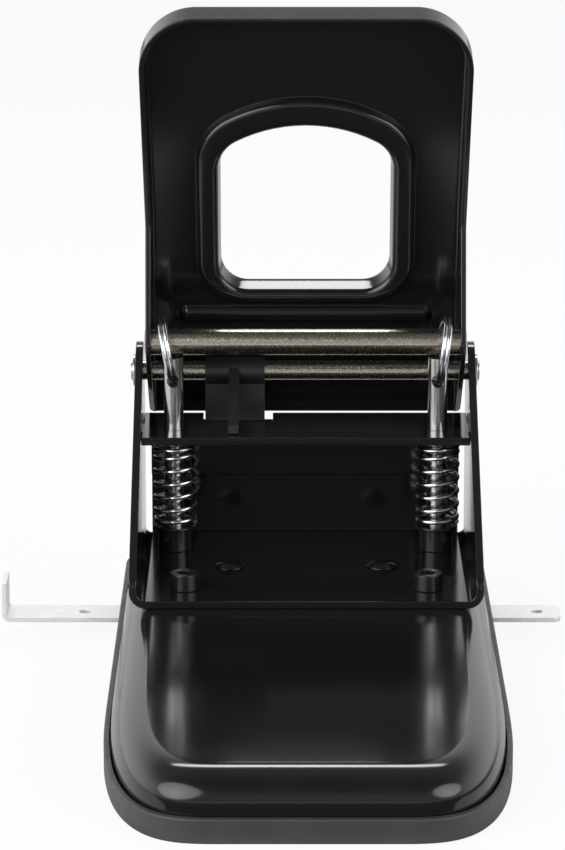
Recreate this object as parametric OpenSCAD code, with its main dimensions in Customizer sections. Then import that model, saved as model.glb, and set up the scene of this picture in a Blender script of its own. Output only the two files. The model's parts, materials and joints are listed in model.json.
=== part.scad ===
// Heavy-duty two-hole punch with a tall lever handle, drawn at rest with the handle up.
// Millimetres. X runs to the right, Y away from the handle side, Z up.
// The origin lies on the desk, below the midpoint between the two punch pins.

/* [Punch pins] */
// Distance between the two punched holes
hole_pitch = 80; // [70:0.5:86]
// Diameter of a punch pin
pin_d = 6; // [5.5:0.1:6.4]
// Diameter of the cross hole for the lift ring
ring_hole_d = 3.9; // [3.8:0.05:4]
// Depth of the V cut in a pin's cutting end
tip_cut = 1.2; // [0.4:0.1:2]
// Radial running clearance of pins and axle in their holes
run_gap = 0.05; // [0.02:0.01:0.1]

/* [Base] */
// Width of the steel base cover
cover_w = 108.6; // [104:0.2:114]
// Sheet of the base cover
cover_t = 1.5; // [1:0.1:2]
// Height of the cover's flat top above the desk
cover_top = 18.5; // [17:0.1:21]
// Breadth of the rounded shoulder round the cover's top
shoulder_w = 10; // [6:0.5:12]
// Height of the rounded shoulder
shoulder_h = 9; // [5:0.5:10]
// Reach of the base in front of the pins
base_front = 195.8; // [170:0.1:220]
// Reach of the base behind the pins
base_rear = 44.5; // [38:0.5:60]
// Breadth of a front corner
front_corner_x = 32; // [20:1:40]
// Length of a front corner
front_corner_y = 98; // [40:1:110]
// Fullness of a front corner, 2 for an ellipse
front_corner_power = 3.2; // [2:0.1:4]
// Wall of the plastic tray
tray_wall = 1.5; // [1.2:0.1:3]
// Floor of the plastic tray
tray_floor = 1.6; // [1.2:0.1:2]
// Height of the tray's wall
tray_h = 7; // [6.8:0.1:8]
// Seam between the tray and the cover
seam = 0.5; // [0.3:0.1:1]

/* [Throat] */
// Distance from the pins to the paper stop
margin = 12; // [10:0.5:14]
// Height of the die plate's top above the desk
table_z = 9.5; // [9:0.1:11]
// Thickness of the die plate
die_t = 3; // [2.5:0.1:3]
// Outer diameter of a die bush
die_bush_d = 11; // [9:0.5:13]

/* [Frame] */
// Sheet of the frame
frame_t = 2.3; // [2:0.1:2.5]
// Outer radius of the frame's bends
frame_bend = 5; // [4:0.5:6]
// Reach of the frame's floor in front of the pins
frame_front = 54.9; // [52:0.1:60]
// Radius of a wall's round head at the axle
head_r = 9; // [7:0.5:10]
// Gap between the handle and a wall of the frame
handle_gap = 1.4; // [1:0.1:2]
// Slit between the back wall and a side wall
back_slit = 2.2; // [1.5:0.1:5]
// Height of the bridge plate's top above the desk
bridge_top = 58.7; // [57:0.1:60]
// Thickness of the bridge plate
bridge_t = 2.5; // [2:0.1:3]
// Reach of the bridge plate in front of the pins
bridge_front = 11; // [9:0.5:14]
// Depth of the bridge plate's rear flange
bridge_flange = 19.3; // [10:0.1:24]

/* [Hinge] */
// Distance of the axle behind the pins
axle_y = 20; // [19:0.1:22]
// Height of the axle above the desk
axle_z = 72; // [71:0.1:74]
// Diameter of the axle
axle_d = 6; // [5:0.1:6.4]
// Diameter of the press shaft
shaft_d = 8; // [7:0.1:9]
// Distance of the press shaft in front of the axle at rest
shaft_fwd = 18; // [16:0.1:20]
// Height of the press shaft above the axle at rest
shaft_up = 13.3; // [12:0.1:14.5]
// Turn of the handle from rest to its lowest place, degrees
handle_turn = 39.5; // [34:0.5:41]

/* [Handle] */
// Lean of the handle towards the front at rest, degrees
lean = 12; // [8:0.5:18]
// Distance from a pin's axis to the handle's side
pin_side = 8.3; // [7.6:0.1:11]
// Flare of each side from the axle to the top
handle_flare = 1.2; // [0:0.1:3]
// Sheet of the handle
handle_t = 1.6; // [1.2:0.1:2]
// Length of the handle above the axle
handle_l = 117.1; // [105:0.1:130]
// Depth of the handle's rim
rim_depth = 10; // [8:0.5:14]
// Outer radius of the bend between the panel and the rim
handle_bend = 5; // [3:0.5:6]
// Radius of the handle's top corners
top_corner = 17; // [10:0.5:24]
// Width of the hand hole
hole_w = 51.5; // [40:0.5:56]
// Height of the hand hole
hole_h = 52; // [40:0.5:54]
// Height of the hand hole's lower edge above the axle
hole_low = 27.7; // [27:0.1:40]
// Breadth of the drawn rim round the hand hole
drawn_w = 7; // [6:0.5:8]
// Height of the drawn rim
drawn_h = 3; // [2.6:0.1:5]

/* [Springs and rings] */
// Outer diameter of a return spring
spring_d = 13; // [11.5:0.1:13.4]
// Wire of a return spring
spring_wire = 1.4; // [1:0.1:1.6]
// Turns of a return spring, closed ends included
spring_turns = 7; // [6:1:8]
// Wire of a lift ring
ring_wire = 1.2; // [1:0.05:1.2]
// Radius of a lift ring at the middle of its wire
ring_r = 9.6; // [9:0.1:10.2]
// Greatest outward tilt of a lift ring, degrees
ring_tilt_most = 10; // [0:1:11]

/* [Paper guide] */
// Length of the paper guide
guide_l = 168.5; // [150:0.5:190]
// Width of the paper guide
guide_w = 13; // [10:0.5:14]
// Sheet of the paper guide
guide_t = 1.4; // [1:0.1:1.6]
// Height of the stop tab above the desk
tab_z = 16.5; // [12:0.5:18]

/* [Hidden] */
$fn = 48;
sides = [-1, 1];
touch = 0.3;
fit_gap = 0.03;
pin_x = hole_pitch / 2;
handle_w = hole_pitch + 2 * pin_side;

// Base levels and outlines
die_z = table_z - die_t;
floor_z = cover_top + frame_t;
cover_low = tray_floor;
rear_corner = 12;
cover_rear_corner = 3;
corner_steps = 16;
shoulder_steps = 6;

// Linkage: the press shaft swings about the axle and pushes the pins
shaft_y = axle_y - shaft_fwd;
shaft_z = axle_z + shaft_up;
shaft_reach = norm([shaft_fwd, shaft_up]);
shaft_rise = atan2(shaft_up, shaft_fwd);
stroke = shaft_up - shaft_reach * sin(shaft_rise - handle_turn);
pin_top = shaft_z - shaft_d / 2 - touch;
pin_tip = cover_top + 0.4;
echo(stroke_mm = stroke, metres_per_radian = stroke / 1000 / (handle_turn * PI / 180));

// Guides and collars on the pins
bush_d = 10;
seat_d = spring_d;
seat_t = 0.8;
bush_h = 7.7;
bush_spigot_d = 9;
seat_z = floor_z + bush_h;
collar_d = spring_d - 0.4;
collar_t = 1.2;
collar_z = bridge_top - bridge_t - touch - collar_t;
groove_d = pin_d - 1;

// Springs: closed ends, even pitch between
spring_gap = 0.5;
end_pitch = spring_wire + spring_gap;
spring_low = seat_z + 0.05;
spring_high = collar_z - touch;
spring_r = (spring_d - spring_wire) / 2;
mid_pitch = (spring_high - spring_low - spring_wire - 2 * end_pitch) / (spring_turns - 2);
curl_rings = 8;
loop_rings = 24;
tube_sides = 6;

// Lift rings
ring_pitch = ring_wire + 0.45;
ring_turns = 2;
ring_hole_z = pin_top - 6.9;
ring_sag = 0.24;
ring_side_gap = 2;
ring_half = (ring_pitch + ring_wire) / 2;
ring_room = handle_w / 2 - handle_t - ring_side_gap - pin_x - ring_half;
ring_tilt = min(ring_tilt_most, asin(ring_room / (2 * ring_r)));

// Frame places
inner_half = handle_w / 2 + handle_gap;
frame_w = 2 * (inner_half + frame_t);
back_w = 2 * (inner_half - back_slit);
back_y = axle_y - 0.3;
bridge_rear = back_y - 0.2;
back_top = bridge_top - bridge_t - 0.2;
wall_rear = axle_y + 6;
nose_r = 4;
nose_z = cover_top + 6;
tab_y = [-4, 6];
tab_gap = 0.1;
notch_x = [-31.3, -10];
notch_deep = 11;
notch_drop = 4.5;

// Fasteners
screw_at = [36, -42];
screw_d = 5;
screw_head_d = 8.5;
screw_head_h = 5;
screw_socket = 4;
rivet_at = [23, -19];
rivet_d = 5;
rivet_head_d = 10;
rivet_head_h = 2.4;
hole_gap = 0.1;

// Lock lever on the axle
lever_x = [-30.8, -12.5];
lever_d = 8.4;
lever_arm_x = [-23.4, -20.3];

// Paper guide places
guide_y = -16.8;
guide_z = 4.4;
guide_left = -91.5;
guide_gap = 0.2;
guide_hole_d = 3.4;
guide_hole_inset = [24.6, 6.9];

// Handle local frame: u along the panel, v towards the front, from the axle
panel_v = -(axle_d / 2 + 2);
panel_low = -16.6;
shaft_u = shaft_fwd * sin(lean) + shaft_up * cos(lean);
shaft_v = shaft_fwd * cos(lean) - shaft_up * sin(lean);
panel_back = panel_v - handle_t;
ear_axle_r = -panel_back;
ear_shaft_r = 6.5;
ear_l = 34;
lip_v = panel_back + rim_depth;
flare_u = shaft_u + ear_l;
ear_step = 0.05;
ear_x = (handle_w - handle_t) / 2 - ear_step;
bend_steps = 6;
sill_r = 8.5;
side_r = 9.5;
arch_r = 44;
slope_w = 1.8;
roll_r = 2;
bead_u = 16.8;
bead_l = 72;
bead_d = 6.2;
bead_sink = 0.2;

black = [0.02, 0.02, 0.022];
zinc = [0.72, 0.73, 0.75];
nickel = [0.66, 0.62, 0.55];
plastic = [0.06, 0.06, 0.065];

// Outline helpers

// Angle of the outer tangent from one circle [x, y, r] to the next, going anticlockwise
function tangent(a, b) =
    let (d = [b[0] - a[0], b[1] - a[1]])
    atan2(d[1], d[0]) - acos((a[2] - b[2]) / norm(d));

// Closed outline round circles listed anticlockwise, like a tight belt
function belt(circles, steps = 8) = [
    for (i = [0 : len(circles) - 1])
    let (
        n = len(circles),
        c = circles[i],
        start = tangent(circles[(i + n - 1) % n], c),
        stop = tangent(c, circles[(i + 1) % n]),
        turn = (stop - start + 720) % 360,
        count = c[2] > 0 ? steps : 0
    )
    for (k = [0 : count])
    let (a = start + (count > 0 ? turn * k / count : 0))
    [c[0] + c[2] * cos(a), c[1] + c[2] * sin(a)]
];

// A quarter of an ellipse
function quarter(cx, cy, rx, ry, from, steps) = [
    for (i = [0 : steps])
    let (a = from + 90 * i / steps)
    [cx + rx * cos(a), cy + ry * sin(a)]
];

// A full quarter of the base's front, squarer than an ellipse
function full_quarter(cx, cy, rx, ry, from) = [
    for (i = [0 : corner_steps])
    let (
        a = from + 90 * i / corner_steps,
        e = 2 / front_corner_power,
        c = cos(a),
        s = sin(a)
    )
    [cx + rx * sign(c) * pow(abs(c), e), cy + ry * sign(s) * pow(abs(s), e)]
];

// Plan of the base: round rear corners and long front corners, drawn in by an inset
function plan(half_w, front, rear, corner, inset, rear_inset) =
    let (
        hw = half_w - inset,
        y0 = -front + inset,
        y1 = rear - rear_inset,
        fx = front_corner_x - inset,
        fy = front_corner_y - inset,
        rc = max(corner - inset, 0.6)
    )
    concat(
        quarter(hw - rc, y1 - rc, rc, rc, 0, 4),
        quarter(-hw + rc, y1 - rc, rc, rc, 90, 4),
        full_quarter(-hw + fx, y0 + fy, fx, fy, 180),
        full_quarter(hw - fx, y0 + fy, fx, fy, 270)
    );

// Closed skin through rings of points, capped at both ends
module skin(rings) {
    n = len(rings[0]);
    last = len(rings) - 1;
    walls = [
        for (i = [0 : last - 1])
        for (j = [0 : n - 1])
        let (a = i * n + j, b = i * n + (j + 1) % n)
        for (f = [[a, b, b + n], [a, b + n, a + n]])
        f
    ];
    first_cap = [for (j = [n - 1 : -1 : 0]) j];
    last_cap = [for (j = [0 : n - 1]) last * n + j];
    polyhedron([for (r = rings) each r], concat([first_cap], walls, [last_cap]), convexity = 8);
}

// Closed skin through rings of points, the last joined to the first
module ring_skin(rings) {
    n = len(rings[0]);
    m = len(rings);
    walls = [
        for (i = [0 : m - 1])
        for (j = [0 : n - 1])
        let (
            a = i * n + j,
            b = i * n + (j + 1) % n,
            c = ((i + 1) % m) * n + (j + 1) % n,
            d = ((i + 1) % m) * n + j
        )
        for (f = [[a, c, b], [a, d, c]])
        f
    ];
    polyhedron([for (r = rings) each r], walls, convexity = 8);
}

// Rings of a round tube along a path whose sections lie close to the given outward directions
function tube_rings(path, outward, r) = [
    for (i = [0 : len(path) - 1])
    let (
        ahead = path[min(i + 1, len(path) - 1)] - path[max(i - 1, 0)],
        t = ahead / norm(ahead),
        side = cross(t, outward[i]),
        b = side / norm(side),
        n = cross(b, t)
    )
    [
        for (k = [0 : tube_sides - 1])
        let (a = 360 * k / tube_sides)
        path[i] + r * (cos(a) * n - sin(a) * b)
    ]
];

// A helix with one straight wire diameter at each end
function helix(radius, heights, per_turn) = [
    for (i = [0 : len(heights) - 1])
    let (a = 360 * i / per_turn)
    [radius * cos(a), radius * sin(a), heights[i]]
];
function straight_ends(path, run) =
    let (
        n = len(path),
        out0 = path[0] - path[1],
        out1 = path[n - 1] - path[n - 2]
    )
    concat([path[0] + run * out0 / norm(out0)], path, [path[n - 1] + run * out1 / norm(out1)]);

// Least gap between turns of a wound wire
function least_gap(path, per_turn, wire) =
    min([
        for (i = [0 : len(path) - 1])
        for (j = [i + floor(per_turn * 0.6) : 1 : len(path) - 1])
        norm(path[i] - path[j])
    ]) - wire;

// One unbroken wound wire about Z
module wound(path, wire) {
    radial = [for (p = path) [p[0], p[1], 0]];
    skin(tube_rings(path, radial, wire / 2));
}

// Extrude a Y, Z outline along X
module across(x0, x1) {
    translate([x0, 0, 0]) rotate([90, 0, 90]) linear_extrude(x1 - x0) children();
}

// Cylinder along X
module bar(x0, x1, d) {
    translate([x0, 0, 0]) rotate([0, 90, 0]) cylinder(d = d, h = x1 - x0);
}

module at_axle() {
    translate([0, axle_y, axle_z]) children();
}

module at_shaft() {
    translate([0, shaft_y, shaft_z]) children();
}

module at_fasteners(place) {
    for (s = sides) translate([s * place[0], place[1], 0]) children();
}

// Tray

// The cover's plan carried to the rear and grown, so that the seam stays even round the corners
module tray_plan(grow) {
    outer = seam + tray_wall;
    polygon(plan(cover_w / 2, base_front, base_rear - outer, rear_corner - outer, -grow, -grow));
}

// Ribs in the tray that carry the die plate behind the paper guide
module table_ribs() {
    rib_t = 2.4;
    rib_y = pin_d / 2 + 4;
    for (s = sides)
        translate([s * pin_x / 2 - rib_t / 2, rib_y, tray_floor])
            cube([rib_t, base_rear - tray_wall - rib_y - 1, die_z - tray_floor]);
}

module base_tray() {
    color(plastic) {
        difference() {
            linear_extrude(tray_h) tray_plan(seam + tray_wall);
            translate([0, 0, tray_floor]) linear_extrude(tray_h) tray_plan(seam);
            guide_slot(cover_w, guide_z - guide_gap, guide_z + guide_t + guide_gap);
        }
        table_ribs();
    }
}

// Room for the paper guide to slide sideways
module guide_slot(length, low, high) {
    translate([-length, guide_y - guide_w / 2 - guide_gap, low])
        cube([2 * length, guide_w + 2 * guide_gap, high - low]);
}

// Cover

function cover_ring(inset, z, rear_inset) = [
    for (p = plan(cover_w / 2, base_front, -margin, cover_rear_corner, inset, rear_inset))
    [p[0], p[1], z]
];

// Outer or inner face of the cover from its flat top down to its lower edge
function cover_face(sheet) = concat(
    [
        for (i = [0 : shoulder_steps])
        let (a = 90 - 90 * i / shoulder_steps)
        cover_ring(
            sheet + (shoulder_w - sheet) * (1 - cos(a)),
            cover_top - sheet - (shoulder_h - sheet) * (1 - sin(a)),
            sheet
        )
    ],
    [cover_ring(sheet, cover_low, sheet)]
);

module base_cover() {
    inner = cover_face(cover_t);
    turned = [for (i = [len(inner) - 1 : -1 : 0]) inner[i]];
    color(black)
    difference() {
        skin(concat(cover_face(0), turned));
        guide_slot(cover_w, -1, guide_z + guide_t + 2 * guide_gap);
        die_passage();
        at_fasteners(screw_at) cylinder(d = screw_d + 2 * hole_gap, h = 3 * cover_top);
        at_fasteners(rivet_at) cylinder(d = rivet_d + 2 * hole_gap, h = 3 * cover_top);
    }
}

// The die plate runs under the cover's rear edge
module die_passage() {
    half = cover_w / 2 + 1;
    translate([-half, -margin - cover_t - 1, -1]) cube([2 * half, cover_t + 3, table_z + 1]);
}

// Die plate and spacer

module die_plate() {
    wide = cover_w / 2 - 0.2;
    slim = cover_w / 2 - cover_t - touch;
    front = screw_at[1] - 10;
    step = -margin - cover_t - 0.8;
    deep = base_rear - tray_wall - seam;
    rc = rear_corner - tray_wall - seam;
    outline = concat(
        [[slim, step], [wide, step]],
        quarter(wide - rc, deep - rc, rc, rc, 0, 6),
        quarter(-wide + rc, deep - rc, rc, rc, 90, 6),
        [[-wide, step], [-slim, step], [-slim, front], [slim, front]]
    );
    color(black)
    difference() {
        translate([0, 0, die_z]) linear_extrude(die_t) polygon(outline);
        for (s = sides)
            translate([s * pin_x, 0, 0]) cylinder(d = die_bush_d + 2 * fit_gap, h = cover_top);
        at_fasteners(screw_at) cylinder(d = screw_d + 2 * hole_gap, h = cover_top);
        at_fasteners(rivet_at) cylinder(d = rivet_d + 2 * hole_gap, h = cover_top);
    }
}

module die_bush(s) {
    color(zinc)
    translate([s * pin_x, 0, die_z])
        difference() {
            cylinder(d = die_bush_d, h = die_t);
            translate([0, 0, -1]) cylinder(d = pin_d + 2 * run_gap, h = die_t + 2);
        }
}

module spacer_block() {
    half = cover_w / 2 - shoulder_w - 1;
    front = screw_at[1] - 7;
    rear = -margin - cover_t - 0.1;
    color(zinc)
    difference() {
        translate([-half, front, table_z]) cube([2 * half, rear - front, cover_top - cover_t - table_z]);
        at_fasteners(screw_at) cylinder(d = screw_d + 2 * hole_gap, h = 3 * cover_top);
        at_fasteners(rivet_at) cylinder(d = rivet_d + 2 * hole_gap, h = 3 * cover_top);
    }
}

// Frame

// Round-bottomed section of the folded sheet
module fold(w, h, r) {
    translate([-w / 2, r]) square([w, h - r]);
    translate([-w / 2 + r, 0]) square([w - 2 * r, r + 0.01]);
    for (s = sides) translate([s * (w / 2 - r), r]) circle(r = r);
}

module folded_channel() {
    tall = axle_z;
    long = frame_front + wall_rear + 2 * head_r;
    translate([0, -frame_front + long, cover_top])
        rotate([90, 0, 0])
            linear_extrude(long)
                difference() {
                    fold(frame_w, tall, frame_bend);
                    translate([0, frame_t]) fold(frame_w - 2 * frame_t, tall, frame_bend - frame_t);
                }
}

wall_outline = belt([
    [-frame_front, cover_top, 0],
    [wall_rear, cover_top, 0],
    [axle_y, axle_z, head_r],
    [-frame_front + nose_r, nose_z, nose_r]
], 12);

module u_frame() {
    floor_rear = back_y + frame_t;
    color(black)
    difference() {
        union() {
            intersection() {
                folded_channel();
                across(-frame_w, frame_w) polygon(wall_outline);
            }
            translate([-back_w / 2, back_y, cover_top]) cube([back_w, frame_t, back_top - cover_top]);
        }
        translate([-inner_half, floor_rear, 0]) cube([2 * inner_half, wall_rear, floor_z + frame_bend]);
        for (x = [-inner_half, back_w / 2])
            translate([x, back_y - frame_t, 0])
                cube([back_slit, wall_rear, floor_z + frame_bend]);
        at_axle() bar(-frame_w, frame_w, axle_d + 2 * run_gap);
        bridge_slots();
        for (s = sides)
            translate([s * pin_x, 0, 0]) cylinder(d = bush_spigot_d + 2 * fit_gap, h = axle_z / 2);
        at_fasteners(screw_at) cylinder(d = screw_d + 2 * hole_gap, h = axle_z);
        at_fasteners(rivet_at) cylinder(d = rivet_d + 2 * hole_gap, h = axle_z);
    }
}

// Slots in the walls for the bridge plate's end tabs
module bridge_slots() {
    translate([-frame_w, tab_y[0] - tab_gap, bridge_top - bridge_t - tab_gap])
        cube([2 * frame_w, tab_y[1] - tab_y[0] + 2 * tab_gap, bridge_t + 2 * tab_gap]);
}

module bridge_plate() {
    low = bridge_top - bridge_t;
    half = inner_half - 0.1;
    flange_half = back_w / 2;
    color(black)
    difference() {
        union() {
            translate([-half, -bridge_front, low]) cube([2 * half, bridge_front + bridge_rear, bridge_t]);
            translate([-frame_w / 2, tab_y[0], low]) cube([frame_w, tab_y[1] - tab_y[0], bridge_t]);
            translate([-flange_half, bridge_rear - bridge_t, bridge_top - bridge_flange])
                cube([2 * flange_half, bridge_t, bridge_flange - 0.1]);
        }
        translate([notch_x[0], bridge_rear - notch_deep, bridge_top - notch_drop])
            cube([notch_x[1] - notch_x[0], notch_deep + 1, notch_drop + 1]);
        for (s = sides)
            translate([s * pin_x, 0, low - 1]) cylinder(d = pin_d + 2 * run_gap, h = bridge_t + 2);
    }
}

// Bush that guides a pin through the floor and carries its spring
module guide_bush(s) {
    color(black)
    translate([s * pin_x, 0, 0])
        difference() {
            union() {
                translate([0, 0, cover_top + touch]) cylinder(d = bush_spigot_d, h = frame_t);
                translate([0, 0, floor_z]) cylinder(d = bush_d, h = bush_h);
                translate([0, 0, seat_z - seat_t]) cylinder(d = seat_d, h = seat_t);
            }
            cylinder(d = pin_d + 2 * run_gap, h = axle_z);
        }
}

// Fasteners

module floor_rivets() {
    dome_r = (pow(rivet_head_d / 2, 2) + pow(rivet_head_h, 2)) / (2 * rivet_head_h);
    color(black)
    at_fasteners(rivet_at) {
        translate([0, 0, die_z]) cylinder(d = rivet_d, h = floor_z - die_z + 0.2);
        intersection() {
            translate([0, 0, floor_z + rivet_head_h - dome_r]) sphere(r = dome_r);
            translate([0, 0, floor_z]) cylinder(d = 2 * rivet_head_d, h = dome_r);
        }
    }
}

module frame_screws() {
    color(black)
    at_fasteners(screw_at) {
        translate([0, 0, die_z]) cylinder(d = screw_d, h = floor_z - die_z + 0.2);
        difference() {
            translate([0, 0, floor_z]) cylinder(d = screw_head_d, h = screw_head_h);
            translate([0, 0, floor_z + screw_head_h - screw_socket * 0.7])
                cylinder(d = screw_socket * 2 / sqrt(3), h = screw_socket, $fn = 6);
        }
    }
}

// Hinge

clip_t = 0.8;
clip_gap = 0.2;
clip_wall = 2;
clip_slack = 0.05;
clip_x = frame_w / 2 + clip_gap;
axle_out = 0.6;
clip_groove_d = axle_d - 1.2;

module hinge_axle() {
    half = clip_x + clip_t + axle_out;
    color(nickel)
    at_axle()
        difference() {
            bar(-half, half, axle_d);
            for (s = sides)
                translate([s * (clip_x + clip_t / 2), 0, 0])
                    difference() {
                        bar(-clip_t / 2, clip_t / 2, axle_d + 2);
                        bar(-clip_t, clip_t, clip_groove_d);
                    }
        }
}

// Open retaining clips in the grooves at the axle's ends
module axle_clips() {
    clip_d = axle_d + 2 * clip_wall;
    mouth = clip_groove_d - 0.6;
    color(zinc)
    for (s = sides)
        at_axle()
            translate([s * (clip_x + clip_t / 2), 0, 0])
                difference() {
                    bar(-clip_t / 2 + clip_slack, clip_t / 2 - clip_slack, clip_d);
                    bar(-clip_t, clip_t, clip_groove_d + 2 * clip_slack);
                    translate([-clip_t, -mouth / 2, -clip_d]) cube([2 * clip_t, mouth, clip_d]);
                }
}

// Handle

// Turn the handle's own frame (X, u, v) to its lean at the axle
module in_handle() {
    at_axle() rotate([90 + lean, 0, 0]) children();
}

// Outline of the handle in X, u: straight at the ears, flared to round top corners, with an inset
function handle_outline(inset, low) =
    let (
        hw = handle_w / 2 - inset,
        top_hw = handle_w / 2 + handle_flare - inset,
        r = top_corner - inset,
        top = handle_l - inset
    )
    concat(
        [[-hw, low], [hw, low], [hw, flare_u]],
        quarter(top_hw - r, top - r, r, r, 0, 10),
        quarter(-top_hw + r, top - r, r, r, 90, 10),
        [[-hw, flare_u]]
    );

// Hand hole: a flat sill with round corners under an arched top, grown by a margin
function hand_hole(grow) =
    let (
        hw = hole_w / 2,
        arch_u = hole_low + hole_h - arch_r,
        reach = (arch_r - side_r) * 1.001,
        side_u = arch_u + sqrt(pow(reach, 2) - pow(hw - side_r, 2))
    )
    belt([
        [-hw + sill_r, hole_low + sill_r, sill_r + grow],
        [hw - sill_r, hole_low + sill_r, sill_r + grow],
        [hw - side_r, side_u, side_r + grow],
        [0, arch_u, arch_r + grow],
        [-hw + side_r, side_u, side_r + grow]
    ], 8);

// Outer or inner face of the handle's pan: the flat panel, a round bend and upright walls
module pan_face(sheet, low, front) {
    r = handle_bend - sheet;
    skin(concat(
        [[for (p = handle_outline(sheet, low)) [p[0], p[1], front]]],
        [
            for (i = [bend_steps : -1 : 0])
            let (a = 90 * i / bend_steps)
            [
                for (p = handle_outline(handle_bend - r * sin(a), low))
                [p[0], p[1], panel_back + handle_bend - r * cos(a)]
            ]
        ]
    ));
}

// Side view of an ear round the axle and the press shaft, in v, u
ear_outline = belt([
    [0, 0, ear_axle_r],
    [shaft_v, shaft_u, ear_shaft_r],
    [lip_v - 1, flare_u, 1],
    [panel_v, flare_u, 0]
], 10);

module ears() {
    for (s = sides)
        difference() {
            across(s * ear_x - handle_t / 2, s * ear_x + handle_t / 2)
                polygon([for (p = ear_outline) [p[1], p[0]]]);
            translate([-handle_w, -handle_l, panel_v - handle_l])
                cube([2 * handle_w, 2 * handle_l, handle_l + handle_bend - handle_t - ear_step]);
        }
}

// The handle's sheet: a pan with two ears, cut back below them
module handle_pan() {
    cut_v = panel_v + handle_t;
    difference() {
        union() {
            difference() {
                pan_face(0, panel_low, lip_v);
                pan_face(handle_t, panel_low - 1, lip_v + 1);
            }
            ears();
        }
        translate([-handle_w, 2 * panel_low, cut_v])
            cube([2 * handle_w, -2 * panel_low - ear_axle_r, rim_depth]);
    }
}

// Raised land drawn towards the front round the hand hole, rolled back at the hole's edge
module drawn_rim() {
    front = panel_v + drawn_h;
    back = front - handle_t;
    sink = handle_t / 4;
    land = drawn_w - slope_w;
    sections = [
        [drawn_w, panel_v - sink],
        [drawn_w - slope_w / 4, panel_v + sink],
        [land + slope_w / 4, front - sink],
        [land, front],
        [roll_r, front],
        [roll_r * (1 - sin(45)), front - roll_r * (1 - cos(45))],
        [0, front - roll_r],
        [0, panel_back],
        [handle_t, panel_back],
        [handle_t, back - sink],
        [roll_r, back],
        [land - sink, back],
        [drawn_w - 2 * sink, panel_back - sink / 2],
        [drawn_w - sink / 2, panel_back - sink / 2],
        [drawn_w, panel_back + sink]
    ];
    ring_skin([for (k = sections) [for (p = hand_hole(k[0])) [p[0], p[1], k[1]]]]);
}

// Stiffening bead pressed across the panel above the press shaft, hollow behind
module bead(d) {
    half = bead_l / 2;
    translate([0, bead_u, panel_back - bead_sink]) {
        bar(-half, half, d);
        for (s = sides) translate([s * half, 0, 0]) rotate([0, 90, 0]) sphere(d = d);
    }
}

// Everything behind the panel's back face
module behind_panel() {
    translate([-handle_w, panel_low - handle_l, panel_back - handle_w])
        cube([2 * handle_w, 3 * handle_l, handle_w]);
}

module handle_lever() {
    color(black)
    in_handle()
        difference() {
            union() {
                difference() {
                    handle_pan();
                    translate([0, 0, panel_back - 1])
                        linear_extrude(rim_depth) polygon(hand_hole(drawn_w - handle_t / 4));
                }
                drawn_rim();
                difference() {
                    bead(bead_d);
                    behind_panel();
                }
            }
            bead(bead_d - 2 * handle_t);
            bar(-handle_w, handle_w, axle_d + 2 * run_gap);
            translate([0, shaft_u, shaft_v]) bar(-handle_w, handle_w, shaft_d + 2 * run_gap);
        }
}

module press_shaft() {
    color(nickel) at_shaft() bar(-handle_w / 2, handle_w / 2, shaft_d);
}

// Pins

module punch_pin(s) {
    color(zinc)
    translate([s * pin_x, 0, 0])
        difference() {
            translate([0, 0, pin_tip]) cylinder(d = pin_d, h = pin_top - pin_tip);
            translate([0, 0, ring_hole_z])
                rotate([90, 0, 0]) cylinder(d = ring_hole_d, h = 2 * pin_d, center = true);
            translate([0, 0, collar_z])
                difference() {
                    cylinder(d = pin_d + 2, h = collar_t);
                    cylinder(d = groove_d, h = collar_t);
                }
            translate([0, 0, pin_tip]) tip_notch();
        }
}

// V cut across a pin's cutting end
module tip_notch() {
    across(-pin_d, pin_d) polygon([[-pin_d / 2, -0.01], [pin_d / 2, -0.01], [0, tip_cut]]);
}

// Open collar pushed into the pin's groove, above its spring
module pin_collar(s) {
    color(zinc)
    translate([s * pin_x, 0, collar_z])
        difference() {
            translate([0, 0, 0.05]) cylinder(d = collar_d, h = collar_t - 0.1);
            translate([0, 0, -1]) cylinder(d = groove_d + 0.1, h = collar_t + 2);
            translate([-groove_d / 2 + 0.3, 0, -1]) cube([groove_d - 0.6, collar_d, collar_t + 2]);
        }
}

// Springs and rings

spring_steps = spring_turns * curl_rings;
spring_path = straight_ends(helix(spring_r, [
    for (i = [0 : spring_steps])
    let (t = i / curl_rings)
    end_pitch * min(t, 1)
        + mid_pitch * min(max(t - 1, 0), spring_turns - 2)
        + end_pitch * max(t - spring_turns + 1, 0)
], curl_rings), spring_wire);
echo(spring_least_gap_mm = least_gap(spring_path, curl_rings, spring_wire));

ring_steps = ring_turns * loop_rings - 2;
ring_path = straight_ends(helix(ring_r, [
    for (i = [0 : ring_steps]) ring_pitch * (i - ring_steps / 2) / loop_rings
], loop_rings), ring_wire);
echo(ring_least_gap_mm = least_gap(ring_path, loop_rings, ring_wire));

module return_spring(s) {
    color(zinc) translate([s * pin_x, 0, spring_low + spring_wire / 2]) wound(spring_path, spring_wire);
}

// The ring hangs in the pin's cross hole, goes round the press shaft and tilts outwards
module lift_ring(s) {
    color(zinc)
    translate([s * pin_x, 0, ring_hole_z])
        rotate([0, s * ring_tilt, 0])
            translate([0, 0, ring_r - ring_sag])
                rotate([0, -90, 0])
                    wound(ring_path, ring_wire);
}

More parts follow.
